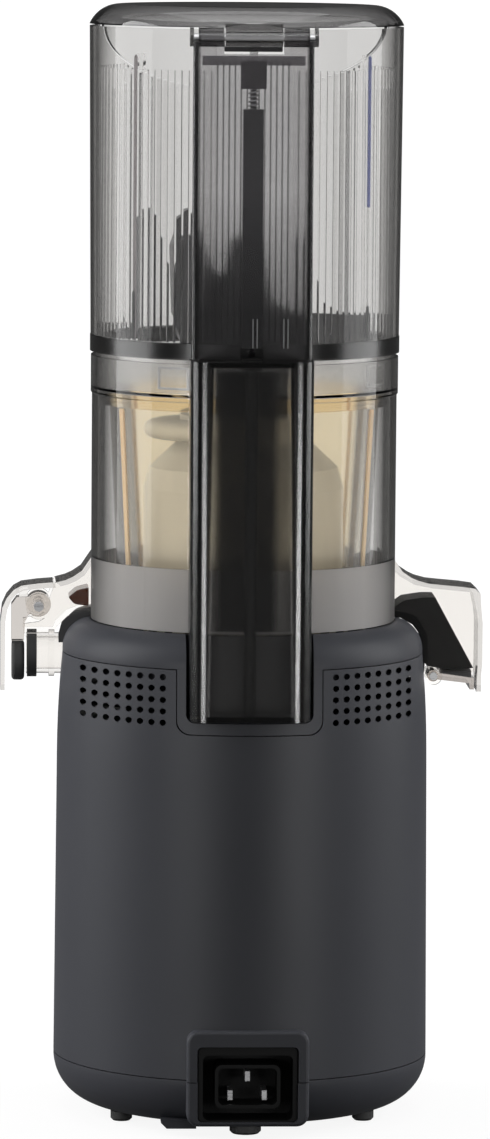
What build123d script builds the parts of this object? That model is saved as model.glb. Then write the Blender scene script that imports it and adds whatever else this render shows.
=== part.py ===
"""Upright slow juicer: base with motor and gears, lift-off chamber, auger, lift-off hopper and hinged lid.

Millimetres, +Z up. The origin is on the table under the middle of the base. The back, with the mains
inlet and the chamber handle, faces -Y. The control dial faces +Y. Juice leaves to -X and pulp to +X.
"""
import os
from math import acos, cos, pi, radians, sin, tan

from build123d import *

# Driving dimensions: the base
FOOT_HEIGHT = 4.0
BASE_RADIUS = 78.1
BASE_NECK_RADIUS = 75.0
PAN_CORNER = 20.0
LOWER_SEAM = 24.7
WAIST_HEIGHT = 150.0
WAIST_RADIUS = 77.2
UPPER_SEAM = 193.0
SHOULDER_TOP = 206.5
SHOULDER_RADIUS = 64.0
SHELL_WALL = 2.6
SEAM_GAP = 0.4
REAR_LIMIT = 80.0
SURROUND_ROUNDING = 1.5

# The well that the chamber stands in, and the rear recess for its handle
WELL_OUTER = 63.4
WELL_INNER = 61.4
WELL_FLOOR = 176.0
TONGUE_HALF = 29.6
TONGUE_BOTTOM = 167.0
TONGUE_CORNER = 5.5
RECESS_HALF = 26.0
RECESS_BOTTOM = 171.6
RECESS_CORNER = 3.5

# The two spouts
SPOUT_Y = 18.0
SPOUT_AXIS_Z = 189.8
SPOUT_OUTER = 8.6
SPOUT_INNER = 6.8
SPOUT_REACH = 100.8
NOTCH_HALF = 12.0
NOTCH_FLOOR = 179.0

# The chamber, the auger and the strainer
CHAMBER_RADIUS = 63.3
CHAMBER_WALL = 2.8
CHAMBER_FOOT_RADIUS = 60.9
CHAMBER_BOTTOM = 178.5
CHAMBER_TOP = 316.6
RIM_RADIUS = 63.8
RIM_BOTTOM = 300.8
RIM_WALL = 2.0
SKIRT_TOP = 232.7
SKIRT_WALL = 1.2
STRAINER_RADIUS = CHAMBER_RADIUS - CHAMBER_WALL - 0.3
HANDLE_TOP = 319.0
HANDLE_BOTTOM = 172.6
HANDLE_TOP_HALF = 25.1
HANDLE_FOOT_HALF = 24.8
HANDLE_WALL = 2.2
HANDLE_CORNER = 8.0
HANDLE_FRONT = 50.0
CAVITY_TOP_HALF = 18.4
CAVITY_FOOT_HALF = 20.6
CAVITY_CORNER = 4.8

# The hopper and the lid
HOPPER_BOTTOM = 318.4
RING_FOOT = 304.4
RING_RADIUS = 64.2
HOPPER_TOP = 452.6
HOPPER_RADIUS = 64.0
HOPPER_TOP_RADIUS = 64.9
HOPPER_WALL = 2.2
COLUMN_HALF = 24.4
COLUMN_BACK = 68.0
COLUMN_WINDOW_HALF = 15.0
CHANNEL_FRONT = 61.2
HINGE_Y = -66.0
HINGE_Z = 449.6
BARREL_RADIUS = 3.85
LID_BOTTOM = 453.4
LID_TOP = 461.3

# The gear train
GEAR_CENTRES = 30.0
FIRST_MODULE = 1.25
SECOND_MODULE = 1.0
PINION_TEETH = 12
IDLER_TEETH = 36
OUTPUT_TEETH = 48
BACKLASH = 0.2

# The drive shaft
DRIVE_RADIUS = 6.0
DRIVE_HEX_FLATS = 12.0
RUNNING_CLEARANCE = 0.05

# The control dial
DIAL_Z = 95.0
DIAL_RADIUS = 18.0
DISH_RADIUS = 25.0
DISH_FLOOR = 67.0

LOW = (Align.CENTER, Align.CENTER, Align.MIN)


def save(name, shape):
    """Writes one sub-part to its own STEP file."""
    export_step(shape, f"parts/{name}.step")


def disc(radius, low, high, x=0.0, y=0.0):
    """An upright cylinder between two heights."""
    return Pos(x, y, low) * Cylinder(radius, high - low, align=LOW)


def ring(outer, inner, low, high, x=0.0, y=0.0):
    """An upright tube between two heights."""
    return disc(outer, low, high, x, y) - disc(inner, low - 1, high + 1, x, y)


def block(x0, x1, y0, y1, z0, z1):
    """A box given by its limits along each axis."""
    middle = Pos((x0 + x1) / 2, (y0 + y1) / 2, (z0 + z1) / 2)
    return middle * Box(x1 - x0, y1 - y0, z1 - z0)


def rod_x(radius, x0, x1, y, z):
    """A cylinder along X."""
    return Pos((x0 + x1) / 2, y, z) * Rot(0, 90, 0) * Cylinder(radius, abs(x1 - x0))


def rod_y(radius, y0, y1, x, z):
    """A cylinder along Y."""
    return Pos(x, (y0 + y1) / 2, z) * Rot(90, 0, 0) * Cylinder(radius, y1 - y0)


def turned(points):
    """A solid turned about Z from straight lines between (radius, height) points."""
    return revolve(Plane.XZ * make_face(Polyline(*points, close=True)), axis=Axis.Z)


def side_plate(points, y0, y1):
    """A plate cut to an outline of (x, z) points, between two places along Y."""
    face = Plane.XZ.offset(-y1) * make_face(Polyline(*points, close=True))
    return extrude(face, amount=y1 - y0)


def rounded_rear_block(half_width, bottom, top, corner, y_front, y_back):
    """A block with rounded edges along Y, from y_front back to y_back."""
    middle = (bottom + top) / 2
    outline = Pos(0, middle) * RectangleRounded(2 * half_width, top - bottom, corner)
    outline = Plane.XZ.offset(-y_front) * outline
    return extrude(outline, amount=y_front - y_back)


# ---------------------------------------------------------------- base housing

def base_envelope(inset):
    """The filled outer form of the base, moved inwards by inset."""
    neck = BASE_NECK_RADIUS - inset
    foot_z = FOOT_HEIGHT + inset
    top_z = SHOULDER_TOP - inset
    corner_r = BASE_RADIUS - PAN_CORNER
    mid = PAN_CORNER - inset
    corner_z = FOOT_HEIGHT + PAN_CORNER
    pan_mid = (corner_r + mid * sin(pi / 4), corner_z - mid * cos(pi / 4))
    waist = (WAIST_RADIUS - inset, WAIST_HEIGHT)
    neck_mid = (BASE_NECK_RADIUS + 1.6 - inset, (WAIST_HEIGHT + UPPER_SEAM) / 2)
    shoulder_mid = (71.9 - 0.7 * inset, 202.4 - 0.7 * inset)
    edges = [
        Line((0, foot_z), (corner_r, foot_z)),
        ThreePointArc((corner_r, foot_z), pan_mid, (BASE_RADIUS - inset, corner_z)),
        Line((BASE_RADIUS - inset, corner_z), waist),
        ThreePointArc(waist, neck_mid, (neck, UPPER_SEAM)),
        ThreePointArc((neck, UPPER_SEAM), shoulder_mid, (SHOULDER_RADIUS, top_z)),
        Line((SHOULDER_RADIUS, top_z), (0, top_z)),
        Line((0, top_z), (0, foot_z)),
    ]
    return revolve(Plane.XZ * make_face(edges), axis=Axis.Z)


def slab(low, high):
    """A wide block between two heights, for cutting the housing at its seams."""
    return block(-120, 120, -120, 120, low, high)


def spout_notches():
    """The two openings in the top edge of the base that the spouts lie in."""
    low_y = SPOUT_Y - NOTCH_HALF
    high_y = SPOUT_Y + NOTCH_HALF
    return (block(-90, -50, low_y, high_y, NOTCH_FLOOR, 220)
            + block(50, 90, low_y, high_y, NOTCH_FLOOR, 220))


def vent_holes():
    """Round cooling holes in two fields of eight by five beside the handle recess."""
    columns = 8
    rows = 5
    first_x = 35.3
    pitch_x = 4.54
    top_z = 189.7
    pitch_z = 4.63
    holes = []
    for side in (-1, 1):
        for column in range(columns):
            for row in range(rows):
                x = side * (first_x + pitch_x * column)
                holes.append(rod_y(1.3, -90, -20, x, top_z - pitch_z * row))
    return Compound(children=[hole.solid() for hole in holes])


def inlet_outline(half_width, bottom, top, corner, y_front, y_back):
    """A block across the back of the base at the mains inlet."""
    return rounded_rear_block(half_width, bottom, top, corner, y_front, y_back)


def inlet_surround(bottom):
    """The raised frame round the inlet, with its rear edge rounded."""
    frame = inlet_outline(25.0, bottom, 46.0, 5.0, -58.0, -REAR_LIMIT)
    return fillet(frame.faces().sort_by(Axis.Y)[0].edges(), SURROUND_ROUNDING)


def make_body_shell(solid, hollow):
    """The round wall of the base, with vents, dial opening, tongue notch and inlet hood."""
    shell = (solid - hollow) & slab(LOWER_SEAM + SEAM_GAP / 2, UPPER_SEAM - SEAM_GAP / 2)
    hood = inlet_surround(2.0) & block(-40, 40, -REAR_LIMIT - 1, -66.0, 0, 60)
    hood -= inlet_outline(20.7, 0.0, 39.4, 2.0, -60.0, -90.0)
    hood = hood & slab(LOWER_SEAM + SEAM_GAP / 2, UPPER_SEAM)
    shell = shell + hood
    shell -= inlet_outline(20.7, 0.0, 39.4, 2.0, -60.0, -90.0)
    shell -= rounded_rear_block(TONGUE_HALF + SEAM_GAP, TONGUE_BOTTOM - SEAM_GAP, 230, TONGUE_CORNER, -50, -95)
    shell -= spout_notches()
    shell -= vent_holes()
    shell -= rod_y(DISH_RADIUS + 0.3, 50, 90, 0, DIAL_Z)
    return shell


def make_shoulder_covers(solid, hollow):
    """The shoulder: a rear cover with a tongue that holds the handle recess, and a front cover."""
    shoulder = (solid - disc(WELL_OUTER + 0.2, 100, 230)) & slab(UPPER_SEAM + SEAM_GAP / 2, 210)
    shoulder -= hollow & slab(150, SHOULDER_TOP - SHELL_WALL)
    tongue = rounded_rear_block(TONGUE_HALF, TONGUE_BOTTOM, 230, TONGUE_CORNER, -50, -95)
    tongue = (tongue & solid) - disc(WELL_OUTER + 0.2, 100, 230)
    recess = rounded_rear_block(RECESS_HALF, RECESS_BOTTOM, 240, RECESS_CORNER, -50, -95)
    lip_radius = BASE_NECK_RADIUS - SHELL_WALL
    lip = ring(lip_radius, lip_radius - 1.8, UPPER_SEAM - 5, UPPER_SEAM + 3)
    lip -= block(-TONGUE_HALF - 2, TONGUE_HALF + 2, -95, -40, 150, 230)
    cover = shoulder + tongue + lip
    cover -= recess
    cover -= spout_notches()
    cover -= disc(3.2, 150, 180, 0, -67.5)
    return cover.solids().sort_by(Axis.Y)


def make_well():
    """The black cup inside the shoulder that the chamber stands in."""
    cup = ring(WELL_OUTER, WELL_INNER, WELL_FLOOR, SHOULDER_TOP - 0.4)
    floor = ring(WELL_OUTER, 8.0, WELL_FLOOR - 2.5, WELL_FLOOR)
    return cup + floor - spout_notches()


def make_bottom_pan(solid, hollow):
    """The rounded bottom of the base, with the lower half of the inlet surround."""
    pan = (solid - hollow) & slab(0, LOWER_SEAM - SEAM_GAP / 2)
    surround = inlet_surround(6.4)
    surround = surround & slab(0, LOWER_SEAM - SEAM_GAP / 2)
    pan = pan + surround
    pan -= inlet_outline(20.5, 8.2, 60.0, 2.0, -50.0, -90.0)
    lip_radius = BASE_RADIUS - SHELL_WALL - 0.3
    lip = ring(lip_radius, lip_radius - 2.0, LOWER_SEAM - 7, LOWER_SEAM + 4)
    lip -= block(-27, 27, -95, -40, 0, 60)
    pan += lip
    rail = block(-35, -20.5, -66.4, -58, FOOT_HEIGHT - 0.8, FOOT_HEIGHT + 3)
    pan += chamfer(rail.faces().sort_by(Axis.X)[0].edges().group_by(Axis.Z)[0], 2.4)
    for x, y in screw_places():
        pan -= disc(2.0, 0, 20, x, y)
    return pan


def screw_places():
    """Where the four screws come up through the pan."""
    reach = 50.0
    return [(reach * cos(radians(a)), reach * sin(radians(a))) for a in (45, 135, 225, 315)]


def make_feet():
    """Six rubber feet under the pan: a round one at the back and the front, and four blocks."""
    feet = []
    for step in range(6):
        angle = radians(270 + 60 * step)
        x = 58.0 * cos(angle)
        y = 58.0 * sin(angle)
        radius = 6.5 if step in (0, 3) else 4.5
        foot = disc(radius, 0, FOOT_HEIGHT, x, y)
        feet.append(chamfer(foot.edges().group_by(Axis.Z)[0], 1.0).solid())
    return Compound(children=feet)


def make_pan_screws():
    """Four pan-head screws that hold the pan to the posts of the chassis."""
    screws = []
    for x, y in screw_places():
        screw = disc(1.9, FOOT_HEIGHT + 0.2, 18, x, y) + disc(3.6, FOOT_HEIGHT - 1.2, FOOT_HEIGHT, x, y)
        screw += disc(1.9, FOOT_HEIGHT - 1.0, FOOT_HEIGHT + 1.0, x, y)
        screw -= block(x - 2.4, x + 2.4, y - 0.4, y + 0.4, 0, FOOT_HEIGHT - 0.5)
        screws.append(screw.solid())
    return Compound(children=screws)


# ---------------------------------------------------------------- mains inlet and controls

INLET_Z = 22.4
INLET_HALF = 18.4
INLET_LOW = 8.9
INLET_HIGH = 35.8
INLET_FLOOR_Y = -62.0


def make_inlet_socket():
    """The three-pin mains inlet: a deep black well with a raised collar round the pins."""
    frame = inlet_outline(20.2, INLET_LOW - 0.6, 39.0, 1.8, -56.0, -78.6)
    well = inlet_outline(INLET_HALF, INLET_LOW, INLET_HIGH, 2.5, INLET_FLOOR_Y, -90.0)
    back = block(-16, 16, -56.5, -50, 12, 33)
    collar_outer = inlet_outline(13.4, 13.6, 31.6, 3.0, -60.0, -77.0)
    collar_inner = inlet_outline(12.0, 15.0, 30.2, 2.2, INLET_FLOOR_Y, -90.0)
    socket = frame - well + back + (collar_outer - collar_inner)
    return socket - inlet_pin_blocks(0.0)


def inlet_pin_blocks(extra):
    """The three flat pins: two below, 14 mm apart, and the earth pin above and between them."""
    pins = block(-1 - extra, 1 + extra, -74, -53, INLET_Z + 2 - extra, INLET_Z + 6 + extra)
    for x in (-7.0, 7.0):
        pins += block(x - 1 - extra, x + 1 + extra, -73, -53, INLET_Z - 6 - extra, INLET_Z - 2 + extra)
    return pins


def make_inlet_pins():
    """The three pins as separate solids of one group."""
    return Compound(children=inlet_pin_blocks(0.0).solids())


def make_dial_bezel(solid):
    """The dished surround of the control dial, cut to the curve of the base."""
    dish = rod_y(DISH_RADIUS, DISH_FLOOR - 2, 82, 0, DIAL_Z)
    dish -= rod_y(DISH_RADIUS - 1.8, DISH_FLOOR, 90, 0, DIAL_Z)
    dish -= rod_y(4.0, 40, 90, 0, DIAL_Z)
    return dish & solid


def make_control_dial():
    """The dial with a raised grip bar and a spindle behind it."""
    knob = rod_y(DIAL_RADIUS, DISH_FLOOR + 0.6, 75.5, 0, DIAL_Z)
    knob = fillet(knob.edges().group_by(Axis.Y)[-1], 1.5)
    grip = block(-4.5, 4.5, 70, REAR_LIMIT, DIAL_Z - DIAL_RADIUS + 1.5, DIAL_Z + DIAL_RADIUS - 1.5)
    grip = fillet(grip.edges().filter_by(Axis.Y), 3.5)
    grip = fillet(grip.edges().group_by(Axis.Y)[-1], 1.2)
    spindle = rod_y(3.0, 58.0, DISH_FLOOR + 1, 0, DIAL_Z)
    pointer = block(-0.7, 0.7, REAR_LIMIT - 0.5, REAR_LIMIT + 5, DIAL_Z + 6, DIAL_Z + 14)
    return knob + grip + spindle - pointer


def make_dial_switch():
    """The three-position rotary switch behind the dial."""
    body = block(-11, 11, 46, 64.8, DIAL_Z - 11, DIAL_Z + 11)
    return body - rod_y(3.0 + RUNNING_CLEARANCE, 57.5, 70, 0, DIAL_Z)


def make_interlock_switch():
    """The microswitch under the handle recess that the push rod works."""
    body = block(-10, 10, -73, -61, 148, 159.5)
    return body + block(-2, 2, -69, -66, 159, 161.2)


def make_control_board():
    """The speed and safety board on the inside of the wall."""
    board = block(-66, -64.4, -24, 24, 50, 112)
    board += block(-64.8, -52, -18, 2, 60, 78)
    board += rod_x(7.0, -65, -48, 12, 96)
    board += block(-64.8, -56, -16, -4, 90, 104)
    return board


# ---------------------------------------------------------------- motor and gears

MOTOR_LOW = 50.0
MOTOR_HIGH = 120.0
CASE_LOW = 120.0
CASE_HIGH = 160.0
CASE_RADIUS = 28.5
CHASSIS_Z = 163.4
FIRST_GEAR_LOW = 128.0
SECOND_GEAR_LOW = 141.0
PRESSURE_ANGLE = radians(25)


def involute(angle):
    """The involute function."""
    return tan(angle) - angle


def gear_blank(teeth, module, low, high, turn):
    """An involute spur gear on the Z axis. A tooth points to +X, then the gear is turned by turn degrees."""
    pitch_r = teeth * module / 2
    base_r = pitch_r * cos(PRESSURE_ANGLE)
    tip_r = pitch_r + 0.9 * module
    root_r = pitch_r - 1.2 * module
    half_tooth = pi / (2 * teeth) - BACKLASH / (2 * pitch_r)
    start_r = max(base_r, root_r + 0.05)
    steps = 3
    radii = [start_r + (tip_r - start_r) * i / steps for i in range(steps + 1)]
    flank = []
    for r in radii:
        roll = 0.0 if r <= base_r else involute(acos(base_r / r))
        flank.append((r, half_tooth + involute(PRESSURE_ANGLE) - roll))
    flank.insert(0, (root_r, flank[0][1] + 0.1 / pitch_r))
    points = []
    for tooth in range(teeth):
        centre = 2 * pi * tooth / teeth
        for r, angle in flank:
            points.append((r * cos(centre - angle), r * sin(centre - angle)))
        for r, angle in reversed(flank):
            points.append((r * cos(centre + angle), r * sin(centre + angle)))
    face = make_face(Polyline(*points, close=True))
    return Pos(0, 0, low) * Rot(0, 0, turn) * extrude(face, amount=high - low)


def make_motor_can():
    """The steel can of the motor, open at the top, with a boss for the lower bearing."""
    can = ring(38.0, 36.0, MOTOR_LOW, MOTOR_HIGH)
    can += ring(37.0, 8.3, MOTOR_LOW, MOTOR_LOW + 2)
    can += ring(11.0, 8.3, MOTOR_LOW - 4, MOTOR_LOW + 2)
    return can


def make_stator():
    """The laminated stack with its windings, pressed into the can."""
    stack = ring(35.9, 23.0, 66.0, 104.0)
    windings = ring(34.0, 25.0, 58.0, 110.0)
    return stack + windings


def make_motor_bearings():
    """The two bearings of the rotor shaft."""
    lower = ring(8.3, 4.0 + RUNNING_CLEARANCE, MOTOR_LOW - 3.5, MOTOR_LOW + 1.5)
    upper = ring(8.3, 4.0 + RUNNING_CLEARANCE, CASE_LOW - 1.0, CASE_LOW + 4.0)
    return Compound(children=[lower.solid(), upper.solid()])


def make_rotor():
    """The rotor core on the motor shaft."""
    return ring(22.2, 4.0, 68.0, 102.0)


def make_rotor_shaft():
    """The motor shaft with the first pinion cut on its end."""
    shaft = disc(4.0, 34.0, SECOND_GEAR_LOW - 1.4)
    return shaft + gear_blank(PINION_TEETH, FIRST_MODULE, FIRST_GEAR_LOW, SECOND_GEAR_LOW - 1.4, 0.0)


def make_cooling_fan():
    """The fan under the motor: a hub and nine flat blades between two discs."""
    fan = ring(9.0, 4.0, 34.0, 44.0) + ring(30.0, 8.0, 34.0, 35.5)
    blades = 9
    for step in range(blades):
        fan += Rot(0, 0, 360 * step / blades) * block(8.0, 29.0, -0.8, 0.8, 35.0, 43.0)
    return fan


def case_form(inset, low, high):
    """The outline of the gear case: a round for each gear axis."""
    return disc(CASE_RADIUS - inset, low, high) + disc(CASE_RADIUS - inset, low, high, GEAR_CENTRES)


def make_gearbox_case():
    """The cup that holds the gears, with a spigot for the idler shaft."""
    case = case_form(0.0, CASE_LOW, CASE_HIGH) - case_form(2.5, CASE_LOW + 2.5, CASE_HIGH + 1)
    case += disc(38.0, CASE_LOW, CASE_LOW + 2.0)
    case -= disc(8.3, CASE_LOW - 1, CASE_LOW + 4)
    case += ring(6.5, 3.0, CASE_LOW, CASE_LOW + 6.5, GEAR_CENTRES)
    return case - disc(3.0, CASE_LOW + 0.5, CASE_LOW + 8, GEAR_CENTRES)


def make_gearbox_lid():
    """The lid of the gear case, with seats for the drive bush and the idler shaft."""
    lid = case_form(0.0, CASE_HIGH, CASE_HIGH + 3) - disc(10.0, CASE_HIGH - 1, CASE_HIGH + 4)
    lid += ring(5.5, 3.0, CASE_HIGH - 4, CASE_HIGH + 3, GEAR_CENTRES)
    return lid - disc(3.0, CASE_HIGH - 5, CASE_HIGH + 2, GEAR_CENTRES)


def make_idler_shaft():
    """The fixed steel pin that the idler turns on."""
    return disc(3.0, CASE_LOW + 1, CASE_HIGH + 1.5, GEAR_CENTRES)


def make_idler_gear():
    """The idler: a large gear driven by the motor pinion, with a small one above it."""
    large = gear_blank(IDLER_TEETH, FIRST_MODULE, FIRST_GEAR_LOW, SECOND_GEAR_LOW - 2, 180 / IDLER_TEETH)
    small = gear_blank(PINION_TEETH, SECOND_MODULE, SECOND_GEAR_LOW - 2.5, SECOND_GEAR_LOW + 12, 0.0)
    cluster = large + small
    cluster -= disc(3.0 + RUNNING_CLEARANCE, 100, 180)
    for step in range(6):
        cluster -= disc(3.6, 100, SECOND_GEAR_LOW - 1, 14.0 * cos(pi * step / 3), 14.0 * sin(pi * step / 3))
    return Pos(GEAR_CENTRES, 0, 0) * cluster


def make_output_gear():
    """The large gear pressed on the drive shaft."""
    gear = gear_blank(OUTPUT_TEETH, SECOND_MODULE, SECOND_GEAR_LOW, SECOND_GEAR_LOW + 11, 180 / OUTPUT_TEETH)
    return gear - disc(DRIVE_RADIUS, 100, 200)


def make_drive_shaft():
    """The drive shaft: round in its bush and hexagonal above the floor of the well."""
    shaft = disc(DRIVE_RADIUS, SECOND_GEAR_LOW, 184.0)
    flats = RegularPolygon(DRIVE_HEX_FLATS / 2, 6, major_radius=False)
    hexagon = Pos(0, 0, 183.0) * extrude(flats, amount=18.0)
    hexagon = chamfer(hexagon.edges().group_by(Axis.Z)[-1], 1.0)
    return shaft + hexagon


def make_drive_bush():
    """The flanged bronze bush that the drive shaft turns in."""
    bush = ring(10.0, DRIVE_RADIUS + RUNNING_CLEARANCE, CASE_HIGH - 3, CASE_HIGH + 7)
    return bush + ring(12.0, DRIVE_RADIUS + RUNNING_CLEARANCE, CASE_HIGH - 4.5, CASE_HIGH - 0.1)


def make_chassis_plate():
    """The plate across the top of the housing that the gear case hangs from, on four posts."""
    plate = disc(72.5, CHASSIS_Z, CHASSIS_Z + 2.4) - disc(12.5, CHASSIS_Z - 1, CHASSIS_Z + 4)
    plate -= disc(3.4, 150, 180, 0, -67.5)
    for x, y in screw_places():
        plate += ring(5.0, 1.9, FOOT_HEIGHT + SHELL_WALL + 0.2, CHASSIS_Z + 0.5, x, y)
    return plate - rounded_rear_block(TONGUE_HALF + 1, TONGUE_BOTTOM - 1, 230, TONGUE_CORNER, -62, -95)


# ---------------------------------------------------------------- juicing chamber

CAP_PIN_X = -84.9
CAP_PIN_Z = 210.6
CAP_PIN_RADIUS = 2.1
HOOD_SWING_RADIUS = 12.3
SPOUT_MOUTH_X = -90.0
LEVER_PIN_X = 80.4
LEVER_PIN_Z = 181.6
LEVER_PIN_RADIUS = 1.6


def make_chamber_bowl():
    """The clear bowl: a foot that drops into the well, the drum, a wider rim and a central tube."""
    wall = CHAMBER_WALL
    rim_inner = RIM_RADIUS - RIM_WALL
    bowl = turned([
        (9.3, CHAMBER_BOTTOM),
        (CHAMBER_FOOT_RADIUS, CHAMBER_BOTTOM),
        (CHAMBER_FOOT_RADIUS, SHOULDER_TOP + 0.4),
        (CHAMBER_RADIUS - SKIRT_WALL, SHOULDER_TOP + 0.4),
        (CHAMBER_RADIUS - SKIRT_WALL, SKIRT_TOP),
        (CHAMBER_RADIUS, SKIRT_TOP),
        (CHAMBER_RADIUS, RIM_BOTTOM),
        (RIM_RADIUS, RIM_BOTTOM + 0.6),
        (RIM_RADIUS, CHAMBER_TOP),
        (rim_inner, CHAMBER_TOP),
        (rim_inner, RING_FOOT - 0.4),
        (CHAMBER_RADIUS - wall, RING_FOOT - 1.6),
        (CHAMBER_RADIUS - wall, SHOULDER_TOP + 2.5),
        (CHAMBER_FOOT_RADIUS - wall, SHOULDER_TOP),
        (CHAMBER_FOOT_RADIUS - wall, CHAMBER_BOTTOM + 2.4),
        (9.3, CHAMBER_BOTTOM + 2.4),
        (9.3, CHAMBER_BOTTOM + 10.0),
        (7.3, CHAMBER_BOTTOM + 10.0),
        (7.3, CHAMBER_BOTTOM),
    ])
    bowl -= rod_x(SPOUT_INNER, -70, -40, SPOUT_Y, SPOUT_AXIS_Z)
    bowl -= rod_x(SPOUT_INNER, 40, 70, SPOUT_Y, SPOUT_AXIS_Z)
    return bowl


def make_chamber_skirt():
    """The frosted sleeve round the lower part of the bowl."""
    return ring(CHAMBER_RADIUS, CHAMBER_RADIUS - SKIRT_WALL, SHOULDER_TOP + 0.4, SKIRT_TOP)


def handle_form(foot_half, top_half, corner, inset):
    """The tapered box of the handle, rounded on its upright edges, with its back, top and foot moved inwards."""
    def outline(half_width):
        depth = REAR_LIMIT - HANDLE_FRONT - inset
        return Pos(0, depth / 2 - REAR_LIMIT + inset) * RectangleRounded(2 * half_width, depth, corner)
    low = Plane.XY.offset(HANDLE_BOTTOM + inset) * outline(foot_half)
    high = Plane.XY.offset(HANDLE_TOP - inset) * outline(top_half)
    return loft([low.face(), high.face()])


def make_chamber_handle():
    """The smoked box handle behind the bowl, hollow, with a way through for the push rod."""
    handle = handle_form(HANDLE_FOOT_HALF, HANDLE_TOP_HALF, HANDLE_CORNER, 0.0)
    handle -= handle_form(CAVITY_FOOT_HALF, CAVITY_TOP_HALF, CAVITY_CORNER, HANDLE_WALL)
    handle -= disc(WELL_OUTER + 0.6, 100, SHOULDER_TOP + 0.5)
    handle -= disc(CHAMBER_RADIUS, SHOULDER_TOP, RIM_BOTTOM)
    handle -= disc(RIM_RADIUS, RIM_BOTTOM - 0.1, 330)
    handle -= disc(RING_RADIUS + 0.4, HOPPER_BOTTOM - 0.6, 330)
    handle -= disc(2.8, 160, 180, 0, -67.5)
    handle -= block(-4.4, 4.4, -70.4, -60, HANDLE_TOP - 4, HANDLE_TOP + 1)
    return handle.solids().sort_by(SortBy.VOLUME)[-1]


def make_interlock_rod():
    """The push rod in the handle that passes the lid's movement down to the switch in the base."""
    rod = disc(2.4, 162.0, 316.0, 0, -67.5)
    rod += block(-4, 4, -70, -64.8, 315.0, 319.8)
    return rod + block(-4, 4, -70, -62.8, 318.4, 319.8)


def make_shaft_seal():
    """The rubber seal round the central tube of the bowl."""
    return turned([(9.35, 181.2), (16.0, 181.2), (16.0, 182.6), (11.6, 184.0), (11.6, 187.4), (9.35, 187.4)])


def make_strainer():
    """The amber strainer: a thick-walled cone with slots low down, hung from a wide rim ring."""
    cone = turned([
        (50.6, 184.5),
        (56.0, 297.0),
        (STRAINER_RADIUS, 297.0),
        (STRAINER_RADIUS, 302.5),
        (51.6, 302.5),
        (44.6, 184.5),
    ])
    cone += ring(46.0, 30.0, 183.0, 184.6)
    slots = 36
    for step in range(slots):
        cone -= Rot(0, 0, 360 * step / slots) * block(42, 56, -0.4, 0.4, 194, 226)
    return cone


def make_juice_spout():
    """The clear tube that the juice leaves by, with a flange at its mouth."""
    tube = rod_x(SPOUT_OUTER, SPOUT_MOUTH_X, -57.5, SPOUT_Y, SPOUT_AXIS_Z)
    tube += rod_x(SPOUT_OUTER + 1.2, -80.5, -78.2, SPOUT_Y, SPOUT_AXIS_Z)
    tube -= rod_x(SPOUT_INNER, -95, -50, SPOUT_Y, SPOUT_AXIS_Z)
    return tube - disc(CHAMBER_FOOT_RADIUS, 150, SHOULDER_TOP)


def make_spout_ring():
    """The soft dark ring on the mouth of the juice spout."""
    return (rod_x(SPOUT_OUTER + 1.4, SPOUT_MOUTH_X + 0.4, -85.6, SPOUT_Y, SPOUT_AXIS_Z)
            - rod_x(SPOUT_OUTER, -95, -80, SPOUT_Y, SPOUT_AXIS_Z))


def hood_curve(side):
    """The upper outline of a spout hood, from the bowl outwards, as (x, z) points."""
    slope = [(61.5, 233.5), (63.3, 231.1), (67.0, 225.6), (70.7, 223.1), (73.6, 221.8), (78.1, 220.6)]
    return [(side * x, z) for x, z in slope]


def make_juice_hood():
    """The clear hood over the juice spout: two cheeks that carry the cap's pin, and a roof."""
    outline = hood_curve(-1) + [
        (-80.5, 214.0), (-80.6, 209.0), (-82.6, 205.5), (-85.0, 204.2), (-91.2, 203.4), (-91.2, 199.4),
        (-78.6, 199.4), (-77.6, 202.0), (-73.0, 206.6), (-68.0, 208.6), (-61.5, 208.6),
    ]
    low_y = SPOUT_Y - 13.0
    high_y = SPOUT_Y + 13.0
    solid = side_plate(outline, low_y, high_y)
    ear = rod_y(5.4, low_y, high_y, CAP_PIN_X, CAP_PIN_Z)
    inner_roof = [(x + 1.2, z - 2.0) for x, z in hood_curve(-1)]
    inner = side_plate(inner_roof + [(-84.0, 219.0), (-100, 219.0), (-100, 195), (-60, 195)],
                       low_y + 1.8, high_y - 1.8)
    hood = solid + ear - inner
    hood -= rod_y(HOOD_SWING_RADIUS, low_y + 1.8, high_y - 1.8, CAP_PIN_X, CAP_PIN_Z)
    hood -= rod_y(CAP_PIN_RADIUS, 0, 40, CAP_PIN_X, CAP_PIN_Z)
    return hood - disc(CHAMBER_RADIUS, 190, 240)


def make_spout_saddle():
    """The black lip under the hood that lies along the shoulder of the base."""
    band = turned([
        (CHAMBER_RADIUS, 203.4), (68.0, 203.0), (72.0, 200.2), (74.4, 195.4), (76.9, 195.4), (77.0, 199.0),
        (75.6, 204.2), (70.6, 208.8), (CHAMBER_RADIUS, 210.4),
    ])
    band = band & block(-90, 0, SPOUT_Y - 11.1, SPOUT_Y + 11.1, 195, 215)
    return band - rod_x(SPOUT_OUTER + 1.4, -90, -50, SPOUT_Y, SPOUT_AXIS_Z)


def make_spout_pins():
    """The two steel pins that the juice cap and the pulp lever turn on, held in the cheeks."""
    cap_pin = rod_y(CAP_PIN_RADIUS, SPOUT_Y - 13.2, SPOUT_Y + 13.2, CAP_PIN_X, CAP_PIN_Z)
    lever_pin = rod_y(LEVER_PIN_RADIUS, SPOUT_Y - 13.2, SPOUT_Y + 13.2, LEVER_PIN_X, LEVER_PIN_Z)
    return Compound(children=[cap_pin.solid(), lever_pin.solid()])


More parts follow.
